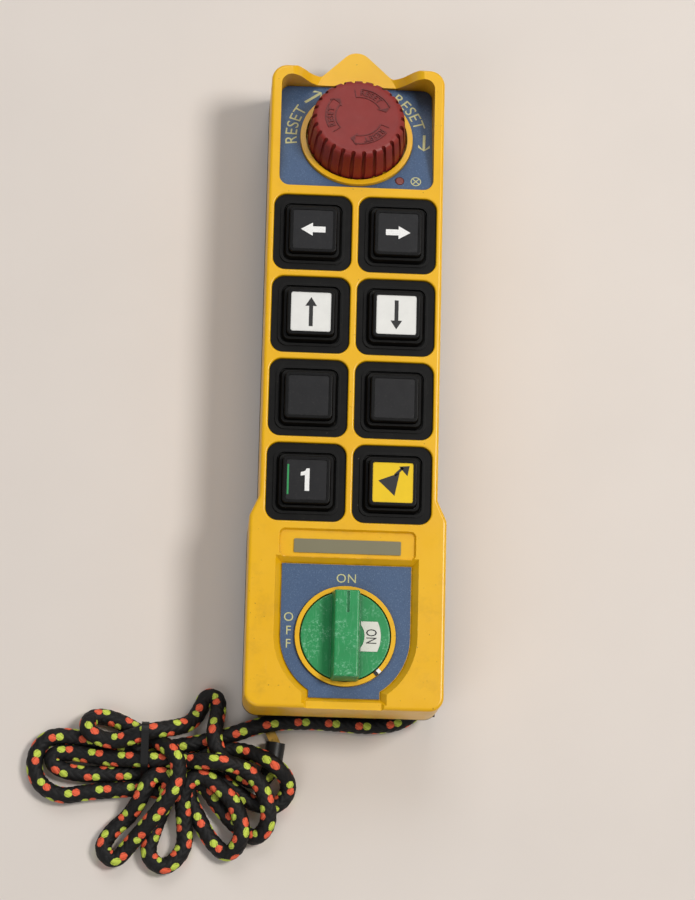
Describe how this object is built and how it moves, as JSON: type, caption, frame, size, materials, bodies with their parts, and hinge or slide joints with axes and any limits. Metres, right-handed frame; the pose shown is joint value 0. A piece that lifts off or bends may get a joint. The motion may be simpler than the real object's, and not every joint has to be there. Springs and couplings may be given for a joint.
{
  "type": "pendant control station",
  "caption": "Hand-held radio control station with a column of square keys, a twist-release stop button, a rotary start switch and a braided wrist lanyard.",
  "frame": {"origin": "on the resting plane under the middle of the case, lanyard left out", "axes": "+Z out of the key face, +Y towards the stop button, +X to the right of the face"},
  "size_m": [0.1407, 0.2923, 0.0489],
  "materials": {
    "case_yellow": "satin moulded plastic",
    "case_black": "fine-grained moulded plastic",
    "rubber_black": "matt silicone rubber",
    "cap_black": "satin moulded plastic",
    "legend_dark": "printed film",
    "legend_white": "printed film",
    "legend_yellow": "printed film",
    "plate_blue": "fine speckled print",
    "label_grey": "printed film",
    "stop_red": "satin moulded plastic",
    "knob_green": "worn moulded plastic",
    "sticker_white": "paper sticker",
    "lens_red": "clear red",
    "steel": "plated",
    "brass": "worn",
    "board_green": "solder mask",
    "cell_wrap": "printed wrap",
    "rope": "braid with orange and yellow-green flecks",
    "sleeve_black": "shrink sleeve"
  },
  "bodies": {
    "case": {"antenna_coil": "brass", "back_housing": "case_black", "battery_cells": "cell_wrap", "battery_contacts": "steel", "bottom_plate": "plate_blue", "front_housing": "case_yellow", "housing_gasket": "rubber_black", "housing_screws": "steel", "indicator_led": "lens_red", "indicator_lens": "lens_red", "key_switches": "case_black", "keypad_mat": "rubber_black", "knob_switch": "case_black", "knob_switch_nut": "steel", "label_plate": "label_grey", "lanyard_hank": "rope", "lanyard_lead": "rope", "lanyard_link": "brass", "lanyard_posts": "steel", "lanyard_sleeve": "sleeve_black", "lanyard_tie": "rubber_black", "main_board": "board_green", "radio_module": "steel", "stop_bushing": "case_black", "stop_contact_block": "case_black", "stop_nut": "case_black", "top_plate": "plate_blue"},
    "key_1_left": {"key_cap_1_left": "cap_black", "key_label_1_left": "legend_dark"},
    "key_1_right": {"key_cap_1_right": "cap_black", "key_label_1_right": "legend_dark"},
    "key_2_left": {"key_cap_2_left": "cap_black", "key_label_2_left": "legend_white"},
    "key_2_right": {"key_cap_2_right": "cap_black", "key_label_2_right": "legend_white"},
    "key_3_left": {"key_cap_3_left": "cap_black", "key_label_3_left": "legend_dark"},
    "key_3_right": {"key_cap_3_right": "cap_black", "key_label_3_right": "legend_dark"},
    "key_4_left": {"key_cap_4_left": "cap_black", "key_label_4_left": "legend_dark"},
    "key_4_right": {"key_cap_4_right": "cap_black", "key_label_4_right": "legend_yellow"},
    "stop_plunger": {"stop_shaft": "cap_black"},
    "stop_button": {"stop_head": "stop_red"},
    "start_knob": {"knob": "knob_green", "knob_sticker": "sticker_white", "knob_shaft": "steel"},
    "door": {"battery_door": "case_black", "door_seal": "rubber_black", "door_screws": "steel"}
  },
  "joints": [
    {"name": "key_1_left_press", "type": "slide", "parent": "case", "child": "key_1_left", "axis": [0, 0, -1], "range_m": [0, 0.0022], "stiffness_N_per_m": 900, "springref_m": -0.0006},
    {"name": "key_1_right_press", "type": "slide", "parent": "case", "child": "key_1_right", "axis": [0, 0, -1], "range_m": [0, 0.0022], "stiffness_N_per_m": 900, "springref_m": -0.0006},
    {"name": "key_2_left_press", "type": "slide", "parent": "case", "child": "key_2_left", "axis": [0, 0, -1], "range_m": [0, 0.0022], "stiffness_N_per_m": 900, "springref_m": -0.0006},
    {"name": "key_2_right_press", "type": "slide", "parent": "case", "child": "key_2_right", "axis": [0, 0, -1], "range_m": [0, 0.0022], "stiffness_N_per_m": 900, "springref_m": -0.0006},
    {"name": "key_3_left_press", "type": "slide", "parent": "case", "child": "key_3_left", "axis": [0, 0, -1], "range_m": [0, 0.0022], "stiffness_N_per_m": 900, "springref_m": -0.0006},
    {"name": "key_3_right_press", "type": "slide", "parent": "case", "child": "key_3_right", "axis": [0, 0, -1], "range_m": [0, 0.0022], "stiffness_N_per_m": 900, "springref_m": -0.0006},
    {"name": "key_4_left_press", "type": "slide", "parent": "case", "child": "key_4_left", "axis": [0, 0, -1], "range_m": [0, 0.0022], "stiffness_N_per_m": 900, "springref_m": -0.0006},
    {"name": "key_4_right_press", "type": "slide", "parent": "case", "child": "key_4_right", "axis": [0, 0, -1], "range_m": [0, 0.0022], "stiffness_N_per_m": 900, "springref_m": -0.0006},
    {"name": "stop_press", "type": "slide", "parent": "case", "child": "stop_plunger", "axis": [0, -0.2857, -0.9583], "range_m": [0, 0.004]},
    {"name": "stop_twist", "type": "hinge", "parent": "stop_plunger", "child": "stop_button", "pos_m": [0, 0.0839, 0.0328], "axis": [0, 0.2857, 0.9583], "range_deg": [-45, 0], "stiffness_Nm_per_rad": 0.05},
    {"name": "start_turn", "type": "hinge", "parent": "case", "child": "start_knob", "pos_m": [0, -0.0939, 0.037], "axis": [0, 0, 1], "range_deg": [-45, 90]},
    {"name": "door_lift", "type": "slide", "parent": "case", "child": "door", "axis": [0, 0, -1], "range_m": [0, 0.012]}
  ]
}
